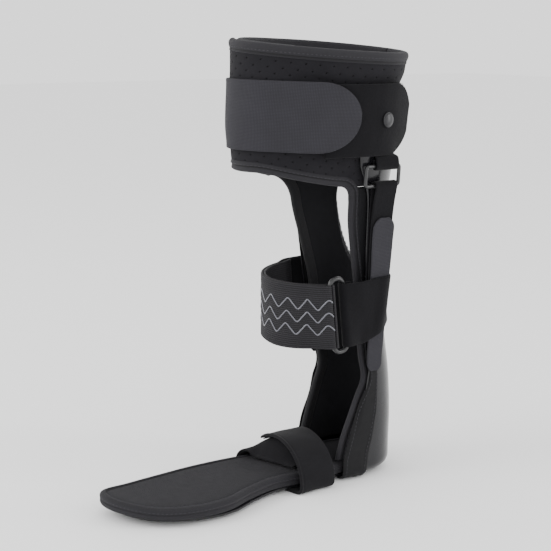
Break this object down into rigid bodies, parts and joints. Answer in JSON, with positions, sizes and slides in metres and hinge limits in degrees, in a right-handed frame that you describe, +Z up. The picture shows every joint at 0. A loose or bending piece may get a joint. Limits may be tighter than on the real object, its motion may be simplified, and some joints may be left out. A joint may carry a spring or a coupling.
{
  "type": "ankle foot orthosis",
  "caption": "Moulded leg and foot splint with a flat foot plate, padded calf cuff, mesh insole and hook-and-loop straps at calf, ankle and instep.",
  "frame": {"origin": "centre of the whole brace's box, at the ground under the strap that passes below the sole", "axes": "+Z up, toes towards -Y, the outer (lateral) side of the left foot towards +X"},
  "size_m": [0.1109, 0.2382, 0.3257],
  "materials": {
    "shell_plastic": "black moulded polypropylene, glossy",
    "cuff_fabric": "matt perforated padded fabric",
    "binding_tape": "woven binding tape with stitching",
    "hook_tape": "woven hook tape, faint sheen",
    "pile_fabric": "brushed loop pile",
    "elastic_webbing": "ribbed elastic with raised glossy silicone lines",
    "black_wire": "black coated wire, glossy",
    "rivet_metal": "dark lacquered rivet, glossy",
    "insole_mesh": "fine knitted mesh"
  },
  "bodies": {
    "brace": {"shell": "shell_plastic", "insole": "insole_mesh", "insole_binding": "binding_tape", "cuff_back": "cuff_fabric", "cuff_back_top_tape": "binding_tape", "cuff_back_bottom_tape": "binding_tape", "shank_liner": "cuff_fabric", "lateral_piping": "binding_tape", "medial_piping": "binding_tape", "calf_strap_anchor": "hook_tape", "loop_tab": "pile_fabric", "lateral_webbing_loop": "pile_fabric", "lateral_side_strap": "pile_fabric", "lateral_hook_tab": "hook_tape", "medial_webbing_loop": "pile_fabric", "medial_side_strap": "pile_fabric", "medial_hook_tab": "hook_tape", "stirrup_strap": "binding_tape", "ankle_pile_strap": "pile_fabric", "ankle_elastic_inner": "elastic_webbing", "ankle_ring": "black_wire", "instep_strap_base": "binding_tape", "lateral_rivet": "rivet_metal", "medial_rivet": "rivet_metal"},
    "calf_strap_body": {"calf_strap": "hook_tape"},
    "outer_flap_body": {"cuff_outer_flap": "cuff_fabric", "cuff_outer_flap_top_tape": "binding_tape", "cuff_outer_flap_bottom_tape": "binding_tape"},
    "inner_flap_body": {"cuff_inner_flap": "cuff_fabric", "cuff_inner_flap_top_tape": "binding_tape", "cuff_inner_flap_bottom_tape": "binding_tape"},
    "ankle_strap_body": {"ankle_elastic_outer": "elastic_webbing", "ankle_hook_patch": "hook_tape"},
    "instep_upper_body": {"instep_upper_flap": "pile_fabric", "instep_hook_patch": "hook_tape"},
    "instep_lower_body": {"instep_lower_flap": "pile_fabric"},
    "lateral_ring_body": {"lateral_ring": "black_wire"},
    "medial_ring_body": {"medial_ring": "black_wire"}
  },
  "joints": [
    {"name": "calf_strap_open", "type": "hinge", "parent": "brace", "child": "calf_strap_body", "pos_m": [-0.05214, 0.04723, 0.27], "axis": [0, 0, 1], "range_deg": [-100, 0]},
    {"name": "cuff_outer_flap_open", "type": "hinge", "parent": "brace", "child": "outer_flap_body", "pos_m": [0.03981, 0.02519, 0.27], "axis": [0, 0, 1], "range_deg": [0, 50]},
    {"name": "cuff_inner_flap_open", "type": "hinge", "parent": "brace", "child": "inner_flap_body", "pos_m": [-0.04713, 0.05976, 0.27], "axis": [0, 0, 1], "range_deg": [-12, 0]},
    {"name": "ankle_strap_open", "type": "hinge", "parent": "brace", "child": "ankle_strap_body", "pos_m": [0.0401, 0.04065, 0.129], "axis": [0, -0.1132, 0.9936], "range_deg": [0, 100]},
    {"name": "instep_upper_open", "type": "hinge", "parent": "brace", "child": "instep_upper_body", "pos_m": [0.0347, 0.032, 0.006], "axis": [0, 1, 0], "range_deg": [0, 100]},
    {"name": "instep_lower_open", "type": "hinge", "parent": "brace", "child": "instep_lower_body", "pos_m": [-0.0355, 0.0205, 0.006], "axis": [0, 1, 0], "range_deg": [-30, 0]},
    {"name": "lateral_ring_swing", "type": "hinge", "parent": "brace", "child": "lateral_ring_body", "pos_m": [0.0476, 0.076, 0.234], "axis": [0, 1, 0], "range_deg": [-2, 2]},
    {"name": "medial_ring_swing", "type": "hinge", "parent": "brace", "child": "medial_ring_body", "pos_m": [-0.0484, 0.076, 0.234], "axis": [0, 1, 0], "range_deg": [-2, 2]}
  ],
  "couplings": [
    {"joint": "cuff_outer_flap_open", "follows": "calf_strap_open", "ratio": -0.5},
    {"joint": "cuff_inner_flap_open", "follows": "calf_strap_open", "ratio": 0.12},
    {"joint": "instep_lower_open", "follows": "instep_upper_open", "ratio": -0.3}
  ]
}
